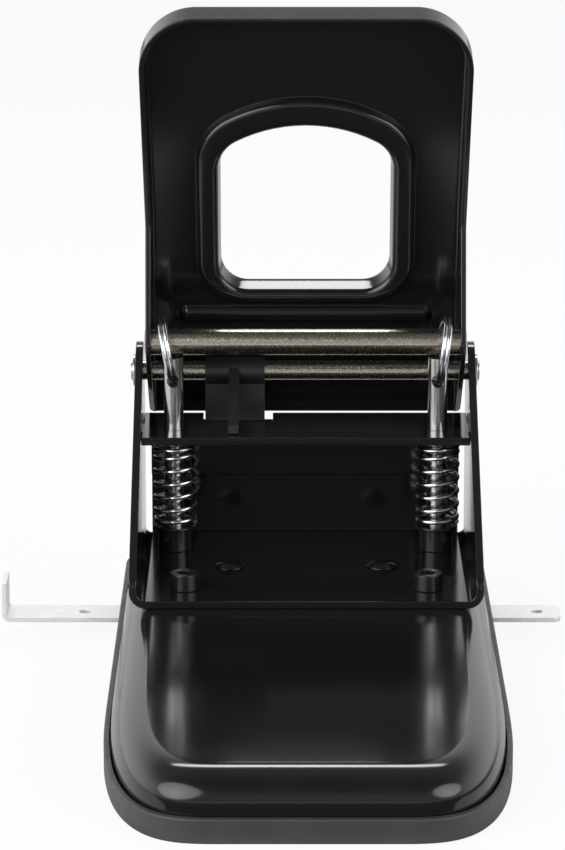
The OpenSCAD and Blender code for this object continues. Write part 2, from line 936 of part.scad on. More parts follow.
// Lock lever: a barrel on the axle, a plate into the bridge's notch and a long finger
module lock_lever() {
    plate_y = axle_y - 1.5;
    plate_t = 3;
    plate_low = back_top + 0.4;
    tip_y = -7.4;
    tip_h = 2.6;
    tip_l = 4;
    finger = [
        [axle_y, axle_z + 3.4],
        [axle_y - 5, axle_z + 1],
        [axle_y - 12, axle_z - 6],
        [tip_y + tip_l, bridge_top + tip_h + 1],
        [tip_y, bridge_top + tip_h],
        [tip_y, bridge_top + touch],
        [tip_y + tip_l, bridge_top + touch],
        [axle_y - 10, axle_z - 8.5],
        [axle_y, axle_z - 7]
    ];
    color(plastic)
    difference() {
        union() {
            at_axle() bar(lever_x[0], lever_x[1], lever_d);
            translate([lever_x[0], plate_y, plate_low])
                cube([lever_x[1] - lever_x[0], plate_t, axle_z - plate_low - 1]);
            across(lever_arm_x[0], lever_arm_x[1]) polygon(finger);
        }
        at_axle() bar(-frame_w, frame_w, axle_d + 2 * run_gap);
    }
}

// Paper guide: a flat strip with a stop tab bent up at its left end
module paper_guide() {
    right = guide_left + guide_l;
    bend = 2.4;
    color(zinc)
    difference() {
        union() {
            translate([guide_left + bend, guide_y - guide_w / 2, guide_z])
                cube([guide_l - bend, guide_w, guide_t]);
            translate([guide_left, guide_y - guide_w / 2, guide_z + bend])
                cube([guide_t, guide_w, tab_z - guide_z - bend]);
            translate([guide_left + bend, guide_y + guide_w / 2, guide_z + bend])
                rotate([90, 0, 0])
                    intersection() {
                        difference() {
                            cylinder(r = bend, h = guide_w);
                            cylinder(r = bend - guide_t, h = guide_w);
                        }
                        translate([-bend, -bend, 0]) cube([bend, bend, guide_w]);
                    }
        }
        translate([guide_left + guide_hole_inset[0], guide_y, 0]) cylinder(d = guide_hole_d, h = tab_z);
        translate([right - guide_hole_inset[1], guide_y, 0]) cylinder(d = guide_hole_d, h = tab_z);
        for (s = sides)
            translate([right, guide_y + s * guide_w / 2, 0])
                difference() {
                    cube([2 * bend, 2 * bend, 2 * tab_z], center = true);
                    translate([-bend, -s * bend, -tab_z]) cylinder(r = bend, h = 2 * tab_z);
                }
    }
}

base_tray();
base_cover();
die_plate();
die_bush(-1);  // die_bush_left
die_bush(1);  // die_bush_right
spacer_block();
u_frame();
bridge_plate();
guide_bush(-1);  // guide_bush_left
guide_bush(1);  // guide_bush_right
floor_rivets();
frame_screws();
hinge_axle();
axle_clips();
handle_lever();
press_shaft();
punch_pin(-1);  // punch_pin_left
punch_pin(1);  // punch_pin_right
pin_collar(-1);  // pin_collar_left
pin_collar(1);  // pin_collar_right
return_spring(-1);  // return_spring_left
return_spring(1);  // return_spring_right
lift_ring(-1);  // lift_ring_left
lift_ring(1);  // lift_ring_right
lock_lever();
paper_guide();
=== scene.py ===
"""Looks of the heavy-duty two-hole punch: finer sheets and wires, finishes, studio and camera."""
import json
import math

import bmesh
import bpy
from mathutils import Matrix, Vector

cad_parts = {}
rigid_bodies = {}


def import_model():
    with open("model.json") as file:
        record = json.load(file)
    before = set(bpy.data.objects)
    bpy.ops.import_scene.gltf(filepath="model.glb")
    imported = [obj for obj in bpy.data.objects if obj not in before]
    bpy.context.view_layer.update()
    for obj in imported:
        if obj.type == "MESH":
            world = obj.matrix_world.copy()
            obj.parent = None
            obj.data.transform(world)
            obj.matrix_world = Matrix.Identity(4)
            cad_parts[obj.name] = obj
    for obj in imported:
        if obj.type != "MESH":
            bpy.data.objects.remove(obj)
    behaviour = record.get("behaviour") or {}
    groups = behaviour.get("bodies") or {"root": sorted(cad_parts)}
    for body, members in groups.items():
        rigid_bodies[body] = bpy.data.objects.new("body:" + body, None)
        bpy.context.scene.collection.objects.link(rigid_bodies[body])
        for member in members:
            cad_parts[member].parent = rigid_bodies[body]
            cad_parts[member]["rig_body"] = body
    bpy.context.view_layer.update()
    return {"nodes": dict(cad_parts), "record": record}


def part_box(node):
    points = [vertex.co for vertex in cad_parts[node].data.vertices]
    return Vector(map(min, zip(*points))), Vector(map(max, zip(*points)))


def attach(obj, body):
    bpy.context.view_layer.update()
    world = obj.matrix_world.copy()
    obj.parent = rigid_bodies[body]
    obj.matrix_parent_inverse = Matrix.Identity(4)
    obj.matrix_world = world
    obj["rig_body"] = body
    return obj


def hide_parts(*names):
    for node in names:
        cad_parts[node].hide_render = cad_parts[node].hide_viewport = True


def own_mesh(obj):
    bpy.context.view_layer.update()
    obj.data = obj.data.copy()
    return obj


MM = 0.001

# Sizes that the frame's boxes don't give, in millimetres and degrees

# Handle: u goes up along the panel from the axle, v to the front
HANDLE_LEAN = 12.0
HANDLE_SHEET = 1.6
HANDLE_BEND = 2.6
HANDLE_TOP_CORNER = 17.0
HANDLE_RIM = 12.0
HANDLE_LENGTH = 117.1
HANDLE_FLARE_FROM = 50.8
PANEL_LOW = -16.6
PANEL_FRONT = -5.0
EAR_SHAFT_RADIUS = 6.5
EAR_LENGTH = 34.0
FLAT_HEM = 0.7  # flat sheet kept next to every bend before the panel is filled

# Hand hole, and the rim drawn forward round it
HOLE_WIDTH = 51.5
HOLE_HEIGHT = 52.5
HOLE_LOW = 26.5
HOLE_ARCH_RADIUS = 44.0
HOLE_SIDE_RADIUS = 9.5
HOLE_SILL_RADIUS = 8.5
RIM_FOOT = 7.5
RIM_HEIGHT = 3.0
RIM_BEND = 0.9  # more than half the sheet, so that the inner face doesn't fold
RIM_WALL_ANGLE = 80.0
RIM_CROWN = 1.9  # how much broader the rim is over the arch
RIM_SILL_SHARE = 0.15  # share of the rim's land left at the sill, clear of the bead
RIM_ROLL_FROM = 2.7
RIM_ROLL = 1.3
RIM_ROLL_SWEEP = 80.0
RIM_FLARE_BACK = -2.8
RIM_EDGE = 0.8
RIM_BACK = -4.2

# Stiffening bead below the hand hole
BEAD_UP = 16.8
BEAD_LENGTH = 72.0
BEAD_HALF = 3.0
BEAD_HEIGHT = 1.6
BEAD_FOOT = 0.25  # share of the half width where the soft foot ends
BEAD_TIP = 0.02  # half width left at the crest, so that its last face has an area

# Base
COVER_SHEET = 1.5
COVER_SHOULDER = (10.0, 9.0)
COVER_REAR_CORNER = 3.0
COVER_SLOT_TOP = 6.2
FRONT_CORNER = (32.0, 98.0)
FRONT_CORNER_POWER = 3.2
LEAST_CORNER = 0.6
TRAY_WALL = 1.5
TRAY_FLOOR = 1.6
TRAY_REAR_CORNER = 12.0
TRAY_ROUND = 0.7
TRAY_SLOT = (4.2, 6.0)
SEAM = 0.5
GUIDE_GAP = 0.2
CUT_PAST = 1.0  # how far a cutter reaches past what it cuts

# Shaft ends as (distance past the ear, share of the radius), wires and rings
SHAFT_END = ((-2.0, 1.0), (0.1, 1.0), (0.3, 0.9), (0.42, 0.6), (0.45, 0.1))
SPRING_WIRE = 1.4
SPRING_GAP = 0.5
SPRING_TURNS = 7
RING_WIRE = 1.3
RING_RADIUS = 9.6
RING_PITCH = 1.36
RING_TILT = 9.8
RING_RISE = 9.36
RING_START = 1.9  # radians
RING_TURNS = 2 - 2 / 24
PIN_HOLE_DOWN = 6.9  # cross hole below the pin's top

# Steps of curves
CORNER_STEPS = 44
REAR_STEPS = 8
SHOULDER_STEPS = 14
TRAY_ROUND_ANGLES = (0, 30, 60, 90)
EAR_STEPS = 40
OUTLINE_STEP = 0.7
TOP_CORNER_STEPS = 28
BEND_STEPS = 8
ARCH_STEPS = 14
SILL_STEPS = 10
RIM_STEPS = 6
ROLL_STEPS = 8
FLARE_STEPS = 4
BEAD_STEPS = 9
BEAD_END_STEPS = 12
SHAFT_SIDES = 56
WIRE_SIDES = 14
SPRING_STEPS = 40
RING_STEPS = 110

# Broken edges. Bevels throw vertices off at slivers, which are merged, and at edges side by side, which stay whole
SLIVER = 0.06
FRAME_SLIVER = 0.18
SIDE_BY_SIDE = 15.0
FOLD = 130.0  # a face angle past this is a fold, not an edge
FLAT_ANGLE = 0.5
EDGE_SEGMENTS = 3
FLAT_WEIGHT = 100
SHARP = 40.0  # face angle from which an edge counts as sharp, and below for some pieces
COVER_SHARP = 30.0
HANDLE_SHARP = 50.0
NODE_SHARP = 35.0
HANDLE_EDGE = 0.34
UNCLAMPED = ("handle_lever", "u_frame", "bridge_plate")  # with the clamp, their shortest edge would shrink every bevel
EDGES = {
    "u_frame": 0.3, "bridge_plate": 0.3, "die_plate": 0.3, "spacer_block": 0.3,
    "guide_bush_left": 0.25, "guide_bush_right": 0.25, "die_bush_left": 0.15, "die_bush_right": 0.15,
    "floor_rivets": 0.15, "frame_screws": 0.3, "hinge_axle": 0.2, "axle_clips": 0.12,
    "punch_pin_left": 0.25, "punch_pin_right": 0.25, "pin_collar_left": 0.15, "pin_collar_right": 0.15,
    "lock_lever": 0.4, "paper_guide": 0.2,
}

# Studio, lengths of lamps, cards and floor in metres
CAMERA_PLACE = (-7.0, -1110.0, 351.0)
CAMERA_PITCH = 14.7
FOCAL_PIXELS = 3777.0
FRAME_PIXELS = 850.0
SENSOR = 36.0
CLIP = (0.05, 20.0)
LAMP_SPREAD = 110.0
LAMP_TARGET = (0.0, -0.1, 0.05)
FLOOR_REACH = 4.0
FLOOR_GREY = 0.8
FLOOR_GLOW = 0.9
CARD_LIFT = 0.0005
CARD_GREY = 0.01
CARD_ROUGHNESS = 0.9

# Range that noise values mostly fall in, and the least length to divide by
NOISE_LOW, NOISE_HIGH = 0.3, 0.7
TINY = 1e-9

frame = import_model()
nodes = frame["nodes"]


def box_mm(node):
    """Lowest and highest corner of a CAD node in millimetres."""
    low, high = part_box(node)
    return low / MM, high / MM


def middle_mm(node):
    """Middle of a CAD node's box in millimetres."""
    low, high = box_mm(node)
    return (low + high) / 2


def add_object(name, data):
    """A new object in the scene for a mesh, lamp or camera."""
    thing = bpy.data.objects.new(name, data)
    bpy.context.scene.collection.objects.link(thing)
    return thing


def mesh_from(bm, name):
    """A mesh made from a bmesh, which is freed."""
    mesh = bpy.data.meshes.new(name)
    bm.to_mesh(mesh)
    bm.free()
    return mesh


# Materials

def new_material(name, colour, roughness, metallic=0.0):
    """A Principled material, its node tree and its shader."""
    material = bpy.data.materials.new(name)
    material.use_nodes = True
    shader = material.node_tree.nodes["Principled BSDF"]
    shader.inputs["Base Color"].default_value = (*colour, 1.0)
    shader.inputs["Roughness"].default_value = roughness
    shader.inputs["Metallic"].default_value = metallic
    return material, material.node_tree, shader


def noise(tree, scale, detail=3.0, stretch=(1.0, 1.0, 1.0)):
    """Noise in the object's own frame, with features of about 1 / scale metres."""
    place = tree.nodes.new("ShaderNodeTexCoord")
    mapping = tree.nodes.new("ShaderNodeMapping")
    mapping.inputs["Scale"].default_value = stretch
    texture = tree.nodes.new("ShaderNodeTexNoise")
    texture.inputs["Scale"].default_value = scale
    texture.inputs["Detail"].default_value = detail
    tree.links.new(place.outputs["Object"], mapping.inputs["Vector"])
    tree.links.new(mapping.outputs["Vector"], texture.inputs["Vector"])
    return texture.outputs["Fac"]


def spread(tree, value, low, high):
    """Map a noise value to a range."""
    node = tree.nodes.new("ShaderNodeMapRange")
    node.inputs["From Min"].default_value = NOISE_LOW
    node.inputs["From Max"].default_value = NOISE_HIGH
    node.inputs["To Min"].default_value = low
    node.inputs["To Max"].default_value = high
    tree.links.new(value, node.inputs["Value"])
    return node.outputs["Result"]


def blend_colour(tree, value, a, b):
    """Colour between a and b by a noise value."""
    ramp = tree.nodes.new("ShaderNodeValToRGB")
    ramp.color_ramp.elements[0].position = NOISE_LOW
    ramp.color_ramp.elements[1].position = NOISE_HIGH
    ramp.color_ramp.elements[0].color = (*a, 1.0)
    ramp.color_ramp.elements[1].color = (*b, 1.0)
    tree.links.new(value, ramp.inputs["Fac"])
    return ramp.outputs["Color"]


def bump(tree, shader, height, strength, distance):
    """Bump from a height value, distance in metres."""
    node = tree.nodes.new("ShaderNodeBump")
    node.inputs["Strength"].default_value = strength
    node.inputs["Distance"].default_value = distance
    tree.links.new(height, node.inputs["Height"])
    tree.links.new(node.outputs["Normal"], shader.inputs["Normal"])


def black_paint():
    """Gloss enamel with a slight orange peel and faint handling marks."""
    dark, light = (0.0062, 0.0062, 0.0066), (0.0078, 0.0078, 0.0082)
    material, tree, shader = new_material("black_paint", colour=(0.007, 0.007, 0.0075), roughness=0.12)
    tree.links.new(spread(tree, noise(tree, scale=30.0), low=0.11, high=0.14), shader.inputs["Roughness"])
    tree.links.new(blend_colour(tree, noise(tree, scale=18.0), dark, light), shader.inputs["Base Color"])
    bump(tree, shader, noise(tree, scale=420.0, detail=1.5), strength=0.03, distance=0.0001)
    return material


def black_steel():
    """Blackened turned steel."""
    material, tree, shader = new_material("black_steel", colour=(0.009, 0.009, 0.0095), roughness=0.22)
    tree.links.new(spread(tree, noise(tree, scale=600.0), low=0.18, high=0.27), shader.inputs["Roughness"])
    turning = noise(tree, scale=1500.0, detail=2.0, stretch=(1.0, 1.0, 6.0))
    bump(tree, shader, turning, strength=0.06, distance=0.00005)
    return material


def moulded_plastic(name, dark, light, rough, grain):
    """Matte moulded plastic with a fine spark-eroded grain."""
    material, tree, shader = new_material(name, dark, rough)
    mottle, wear = noise(tree, scale=60.0, detail=5.0), noise(tree, scale=220.0)
    tree.links.new(blend_colour(tree, mottle, dark, light), shader.inputs["Base Color"])
    tree.links.new(spread(tree, wear, low=rough - 0.05, high=rough + 0.07), shader.inputs["Roughness"])
    bump(tree, shader, noise(tree, grain, detail=2.0), strength=0.2, distance=0.00005)
    return material


def plated(name, dark, light, rough, streak, grain, relief=0.03):
    """Plated metal with fine marks along one direction."""
    material, tree, shader = new_material(name, light, rough, metallic=1.0)
    marks = noise(tree, grain, detail=4.0, stretch=streak)
    tree.links.new(blend_colour(tree, marks, dark, light), shader.inputs["Base Color"])
    tree.links.new(spread(tree, marks, low=rough - 0.04, high=rough + 0.05), shader.inputs["Roughness"])
    bump(tree, shader, marks, strength=relief, distance=0.00002)
    return material


EVENLY, ALONG_X, ALONG_Y, ALONG_Z = (1.0, 1.0, 1.0), (0.3, 1.0, 1.0), (1.0, 0.2, 1.0), (1.0, 1.0, 0.2)
LOOKS = {
    "black_paint": black_paint(),
    "black_steel": black_steel(),
    "tray_plastic": moulded_plastic(
        "tray_plastic", dark=(0.03, 0.0305, 0.032), light=(0.036, 0.0365, 0.038), rough=0.5, grain=2600.0),
    "lever_plastic": moulded_plastic(
        "lever_plastic", dark=(0.012, 0.012, 0.013), light=(0.018, 0.018, 0.019), rough=0.36, grain=1800.0),
    "pin_steel": plated(
        "pin_steel", dark=(0.5, 0.5, 0.49), light=(0.58, 0.58, 0.57), rough=0.16, streak=ALONG_Z, grain=700.0),
    "zinc_wire": plated(
        "zinc_wire", dark=(0.6, 0.62, 0.65), light=(0.7, 0.72, 0.75), rough=0.18, streak=EVENLY, grain=300.0),
    "nickel_rod": plated(
        "nickel_rod", dark=(0.4, 0.36, 0.29), light=(0.6, 0.56, 0.48), rough=0.24, streak=EVENLY, grain=1600.0,
        relief=0.1),
    "guide_zinc": plated(
        "guide_zinc", dark=(0.76, 0.77, 0.79), light=(0.84, 0.85, 0.86), rough=0.42, streak=ALONG_X, grain=700.0),
    "inner_steel": plated(
        "inner_steel", dark=(0.36, 0.36, 0.37), light=(0.48, 0.48, 0.49), rough=0.38, streak=ALONG_Y, grain=300.0),
}


# Mesh helpers, in millimetres until a piece is made

def make_piece(name, verts, faces, replaced, slot, sharp=SHARP):
    """A smooth shaded piece that stands for a CAD node and rides on its body."""
    mesh = bpy.data.meshes.new(name)
    mesh.from_pydata([tuple(c * MM for c in v) for v in verts], [], faces)
    return settle(add_object(name, mesh), replaced, slot, sharp=sharp)


def mark_edges(bm, sharp):
    """Mark the edges to break: the sharp ones, without pairs that leave a corner almost side by side."""
    weight = bm.edges.layers.float.new("bevel_weight_edge")
    for edge in bm.edges:
        angle = math.degrees(edge.calc_face_angle(0.0))
        edge[weight] = float(sharp < angle < FOLD)
    dropped = []
    for vert in bm.verts:
        leaving = [(e, e.other_vert(vert).co - vert.co) for e in vert.link_edges if e[weight]]
        for i, (a, along) in enumerate(leaving):
            for b, beside in leaving[:i]:
                if along.angle(beside) < math.radians(SIDE_BY_SIDE):
                    dropped += [a, b]
    for edge in dropped:
        edge[weight] = 0.0


def settle(piece, replaced, slot, bevel=0.0, sharp=SHARP):
    """Give a piece its shading, finish and body."""
    bm = bmesh.new()
    bm.from_mesh(piece.data)
    bmesh.ops.recalc_face_normals(bm, faces=bm.faces)
    for face in bm.faces:
        face.smooth = True
    if bevel:
        mark_edges(bm, sharp)
    else:
        for edge in bm.edges:
            edge.smooth = len(edge.link_faces) != 2 or edge.calc_face_angle() < math.radians(sharp)
    bm.to_mesh(piece.data)
    bm.free()
    if bevel:
        edges = piece.modifiers.new("edges", "BEVEL")
        edges.width = bevel * MM
        edges.segments = EDGE_SEGMENTS
        edges.limit_method = "WEIGHT"
        edges.miter_outer = "MITER_ARC"
        edges.use_clamp_overlap = replaced not in UNCLAMPED
    flats = piece.modifiers.new("flats", "WEIGHTED_NORMAL")
    flats.keep_sharp = True
    flats.weight = FLAT_WEIGHT
    piece.data.materials.clear()
    piece.data.materials.append(LOOKS[slot])
    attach(piece, nodes[replaced]["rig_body"])
    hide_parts(replaced)
    return piece


def cut(piece, low, high):
    """Cut a box, given by its corners in millimetres, out of a piece."""
    bm = bmesh.new()
    bmesh.ops.create_cube(bm, size=1.0)
    low, high = Vector(low) * MM, Vector(high) * MM
    for vert in bm.verts:
        vert.co = Vector([low[i] + (vert.co[i] + 0.5) * (high[i] - low[i]) for i in range(3)])
    cutter = add_object("cutter", mesh_from(bm, "cutter"))
    trim = piece.modifiers.new("trim", "BOOLEAN")
    trim.object = cutter
    trim.solver = "EXACT"
    apply_modifiers(piece)
    bpy.data.objects.remove(cutter)


def apply_modifiers(piece):
    """Replace a piece's mesh with its evaluated one."""
    graph = bpy.context.evaluated_depsgraph_get()
    made = bpy.data.meshes.new_from_object(piece.evaluated_get(graph))
    piece.modifiers.clear()
    piece.data = made


def ring_faces(count, rings):
    """Quads between rings of points, each ring closed on itself."""
    faces = []
    for i in range(rings - 1):
        a, b = i * count, (i + 1) * count
        for j in range(count):
            k = (j + 1) % count
            faces.append((a + j, a + k, b + k, b + j))
    return faces


def arc(cx, cy, rx, ry, start, stop, steps):
    """Points of an elliptical arc, angles in degrees."""
    return [
        (cx + rx * math.cos(math.radians(a)), cy + ry * math.sin(math.radians(a)))
        for a in (start + (stop - start) * i / steps for i in range(steps + 1))
    ]


def tube(path, radius):
    """Vertices and faces of a round wire along a path, with flat ends."""
    verts = []
    normal = None
    for i, point in enumerate(path):
        along = (path[min(i + 1, len(path) - 1)] - path[max(i - 1, 0)]).normalized()
        if normal is None:
            normal = along.orthogonal().normalized()
        normal = (normal - along * normal.dot(along)).normalized()
        side = along.cross(normal)
        for k in range(WIRE_SIDES):
            a = 2 * math.pi * k / WIRE_SIDES
            verts.append(point + radius * (math.cos(a) * normal + math.sin(a) * side))
    faces = ring_faces(WIRE_SIDES, len(path))
    faces.append(tuple(range(WIRE_SIDES - 1, -1, -1)))
    last = (len(path) - 1) * WIRE_SIDES
    faces.append(tuple(range(last, last + WIRE_SIDES)))
    return verts, faces


# Base

cover_low, cover_high = box_mm("base_cover")
tray_high = box_mm("base_tray")[1]
guide_low, guide_high = box_mm("paper_guide")
die_top = box_mm("die_plate")[1].z


def full_quarter(cx, cy, rx, ry, start):
    """A quarter squarer than an ellipse, with closer points at its ends."""
    points = []
    for i in range(CORNER_STEPS + 1):
        a = math.radians(start + 45 * (1 - math.cos(math.pi * i / CORNER_STEPS)))
        c, s = math.cos(a), math.sin(a)
        x = math.copysign(abs(c) ** (2 / FRONT_CORNER_POWER), c)
        y = math.copysign(abs(s) ** (2 / FRONT_CORNER_POWER), s)
        points.append((cx + rx * x, cy + ry * y))
    return points


def base_plan(rear, corner, inset, rear_inset):
    """Plan of the base with long full front corners, drawn in by an inset."""
    half = cover_high.x - inset
    front = cover_low.y + inset
    rear = rear - rear_inset
    fx, fy = FRONT_CORNER[0] - inset, FRONT_CORNER[1] - inset
    rc = max(corner - inset, LEAST_CORNER)
    return (
        arc(half - rc, rear - rc, rc, rc, 0, 90, REAR_STEPS)
        + arc(-half + rc, rear - rc, rc, rc, 90, 180, REAR_STEPS)
        + full_quarter(-half + fx, front + fy, fx, fy, 180)
        + full_quarter(half - fx, front + fy, fx, fy, 270)
    )


def cover_rings(sheet):
    """Rings of the cover's outer face, or of its inner face one sheet in, from the top down."""
    wide, tall = COVER_SHOULDER
    rings = []
    for i in range(SHOULDER_STEPS + 1):
        a = math.radians(90 - 90 * i / SHOULDER_STEPS)
        inset = sheet + (wide - sheet) * (1 - math.cos(a))
        z = cover_high.z - sheet - (tall - sheet) * (1 - math.sin(a))
        rings.append([(x, y, z) for x, y in base_plan(cover_high.y, COVER_REAR_CORNER, inset, sheet)])
    rings.append([(x, y, cover_low.z) for x, y in base_plan(cover_high.y, COVER_REAR_CORNER, sheet, sheet)])
    return rings


def shell(rings):
    """Vertices and faces of a skin through rings, capped at both ends."""
    count = len(rings[0])
    faces = ring_faces(count, len(rings))
    faces.append(tuple(range(count - 1, -1, -1)))
    faces.append(tuple(range((len(rings) - 1) * count, len(rings) * count)))
    return [v for ring in rings for v in ring], faces


def make_cover():
    """The domed cover, open below, with slots for the paper guide and a rear wall cut away for the die plate."""
    verts, faces = shell(cover_rings(0.0) + cover_rings(COVER_SHEET)[::-1])
    cover = make_piece("cover_shell", verts, faces, "base_cover", "black_paint", sharp=COVER_SHARP)
    cover.modifiers.clear()
    reach = cover_high.x + CUT_PAST
    cut(
        cover,
        (-reach, guide_low.y - GUIDE_GAP, -CUT_PAST),
        (reach, guide_high.y + GUIDE_GAP, COVER_SLOT_TOP),
    )
    cut(
        cover,
        (-reach, cover_high.y - COVER_SHEET - CUT_PAST, -CUT_PAST),
        (reach, cover_high.y + CUT_PAST, die_top),
    )
    settle(cover, "base_cover", "black_paint", sharp=COVER_SHARP)


def make_tray():
    """The tray round the cover's foot, with rounded outer edges and slots for the paper guide."""
    outer, inner = SEAM + TRAY_WALL, SEAM
    corner = TRAY_REAR_CORNER - outer
    rear = tray_high.y - outer

    def ring(grow, z):
        return [(x, y, z) for x, y in base_plan(rear, corner, -grow, -grow)]

    rounds = [TRAY_ROUND * (1 - math.cos(math.radians(a))) for a in TRAY_ROUND_ANGLES[::-1]]
    rises = [TRAY_ROUND * (1 - math.sin(math.radians(a))) for a in TRAY_ROUND_ANGLES]
    rings = [ring(outer - r, h) for r, h in zip(rounds, rises[::-1])]
    rings += [ring(outer - r, tray_high.z - h) for r, h in zip(rounds[::-1], rises)]
    rings += [ring(inner, tray_high.z), ring(inner, TRAY_FLOOR)]
    verts, faces = shell(rings)
    tray = make_piece("tray_shell", verts, faces, "base_tray", "tray_plastic")
    tray.modifiers.clear()
    reach = tray_high.x + CUT_PAST
    slot_low, slot_high = TRAY_SLOT
    cut(tray, (-reach, guide_low.y - GUIDE_GAP, slot_low), (reach, guide_high.y + GUIDE_GAP, slot_high))
    settle(tray, "base_tray", "tray_plastic")


# Handle

axle = middle_mm("hinge_axle")
shaft = middle_mm("press_shaft")
ear_half = box_mm("press_shaft")[1].x
handle_half = box_mm("handle_lever")[1].x
lean = math.radians(HANDLE_LEAN)
UP = Vector((0.0, -math.sin(lean), math.cos(lean)))
FRONT = Vector((0.0, -math.cos(lean), -math.sin(lean)))
shaft_up = (shaft - axle).dot(UP)
shaft_front = (shaft - axle).dot(FRONT)
panel_back = PANEL_FRONT - HANDLE_SHEET
panel_mid = PANEL_FRONT - HANDLE_SHEET / 2
lip_front = panel_back + HANDLE_RIM


def in_handle(x, u, v):
    """A point of the handle's own frame in the row frame."""
    return Vector((x, axle.y, axle.z)) + u * UP + v * FRONT


def turn(a, b, c):
    """Above zero if the way from a over b to c turns left."""
    return (b[0] - a[0]) * (c[1] - a[1]) - (b[1] - a[1]) * (c[0] - a[0])


def ear_envelope():
    """Front edge of a side flange as (u, v) points, going up: round the axle, the shaft and the lip."""
    points = [(PANEL_FRONT, PANEL_LOW)]
    points += arc(0.0, 0.0, -panel_back, -panel_back, -90, 90, EAR_STEPS)
    points += arc(shaft_front, shaft_up, EAR_SHAFT_RADIUS, EAR_SHAFT_RADIUS, -90, 90, EAR_STEPS)
    points += [(lip_front, shaft_up + EAR_LENGTH)]
    points = sorted((u, v) for v, u in points)
    hull = []
    for p in points:
        while len(hull) > 1 and turn(hull[-2], hull[-1], p) >= 0:
            hull.pop()
        hull.append(p)
    return hull


ENVELOPE = ear_envelope()


def flange_front(u):
    """How far a flange reaches to the front at a height."""
    for (u0, v0), (u1, v1) in zip(ENVELOPE, ENVELOPE[1:]):
        if u <= u1:
            return v0 + (v1 - v0) * (u - u0) / max(u1 - u0, TINY)
    return lip_front


def handle_path():
    """Outline from the lower left corner over the top to the lower right, as (x, u, inward x, inward u)."""
    r, half, top = HANDLE_TOP_CORNER, handle_half, HANDLE_LENGTH
    steps = int((top - r - PANEL_LOW) / OUTLINE_STEP)
    heights = [PANEL_LOW + (top - r - PANEL_LOW) * i / steps for i in range(steps + 1)]
    flare = (half - ear_half) / (top - r - HANDLE_FLARE_FROM)
    side = [(ear_half + flare * max(u - HANDLE_FLARE_FROM, 0.0), u, -1.0, 0.0) for u in heights]
    corner = [
        (x, u, -(x - half + r) / r, -(u - top + r) / r)
        for x, u in arc(half - r, top - r, r, r, 0, 90, TOP_CORNER_STEPS)[1:]
    ]
    right = side + corner
    left = [(-x, u, -nx, nu) for x, u, nx, nu in right]
    return left + right[::-1]


def bend_section(front):
    """Middle of the sheet from the panel round the bend to a flange end, as (inset, v)."""
    radius = HANDLE_BEND - HANDLE_SHEET / 2
    rise = front - panel_mid
    sweep = math.acos(max(-1.0, 1 - rise / radius)) if rise < radius else math.pi / 2
    points = [(HANDLE_BEND + FLAT_HEM, panel_mid)]
    for i in range(BEND_STEPS + 1):
        a = sweep * i / BEND_STEPS
        points.append((HANDLE_BEND - radius * math.sin(a), panel_mid + radius * (1 - math.cos(a))))
    tail = max(rise - radius, 0.0)
    inset, v = points[-1]
    return points + [(inset, v + tail)]


rim_wall_angle = math.radians(RIM_WALL_ANGLE)
rim_wall = (RIM_HEIGHT - 2 * RIM_BEND * (1 - math.cos(rim_wall_angle))) / math.sin(rim_wall_angle)
rim_land = RIM_FOOT - 2 * RIM_BEND * math.sin(rim_wall_angle) - rim_wall * math.cos(rim_wall_angle)


def hand_hole(grow):
    """Outline of the arched hand hole, grown by a margin that is broad over the arch and narrow at the sill."""
    land = rim_land - RIM_ROLL_FROM
    on_land = min(max(grow - RIM_ROLL_FROM, 0.0), land)
    crown = RIM_CROWN * on_land / land
    half, top = HOLE_WIDTH / 2, HOLE_LOW + HOLE_HEIGHT + crown
    big, side, sill = HOLE_ARCH_RADIUS, HOLE_SIDE_RADIUS, HOLE_SILL_RADIUS
    below = grow - (1 - RIM_SILL_SHARE) * on_land
    rise = math.sqrt((big - side) ** 2 - (half - side) ** 2)
    phi = math.degrees(math.atan2(rise, half - side))
    side_u = top - big + rise
    return (
        arc(half - side, side_u, side + grow, side + grow, 0, phi, ARCH_STEPS)
        + arc(0.0, top - big, big + grow, big + grow, phi, 180 - phi, ARCH_STEPS)[1:]
        + arc(side - half, side_u, side + grow, side + grow, 180 - phi, 180, ARCH_STEPS)[1:]
        + arc(sill - half, HOLE_LOW + sill, sill + grow, sill + below, 180, 270, SILL_STEPS)
        + arc(half - sill, HOLE_LOW + sill, sill + grow, sill + below, 270, 360, SILL_STEPS)
    )


def rim_section():
    """Middle of the sheet drawn forward round the hand hole, from its foot to its edge, as (grow, v)."""
    points = [(RIM_FOOT + FLAT_HEM, 0.0)]
    turns = [rim_wall_angle * i / RIM_STEPS for i in range(RIM_STEPS + 1)]
    for a in turns:
        points.append((RIM_FOOT - RIM_BEND * math.sin(a), RIM_BEND * (1 - math.cos(a))))
    for a in reversed(turns):
        points.append((rim_land + RIM_BEND * math.sin(a), RIM_HEIGHT - RIM_BEND * (1 - math.cos(a))))
    points.append(((rim_land + RIM_ROLL_FROM) / 2, RIM_HEIGHT))
    for i in range(ROLL_STEPS + 1):
        b = math.radians(RIM_ROLL_SWEEP) * i / ROLL_STEPS
        points.append((RIM_ROLL_FROM - RIM_ROLL * math.sin(b), RIM_HEIGHT - RIM_ROLL * (1 - math.cos(b))))
    front, start = points[-1]
    for i in range(1, FLARE_STEPS + 1):
        points.append((
            front + (RIM_EDGE - front) * i / FLARE_STEPS,
            start + (RIM_FLARE_BACK - start) * i / FLARE_STEPS,
        ))
    points.append((RIM_EDGE, RIM_BACK))
    return [(grow, panel_mid + v) for grow, v in points]


def bead_outline(half):
    """Outline of the bead at a half width, round at both ends, as (x, u)."""
    reach = BEAD_LENGTH / 2
    return (
        arc(reach, BEAD_UP, half, half, -90, 90, BEAD_END_STEPS)
        + arc(-reach, BEAD_UP, half, half, 90, 270, BEAD_END_STEPS)
    )


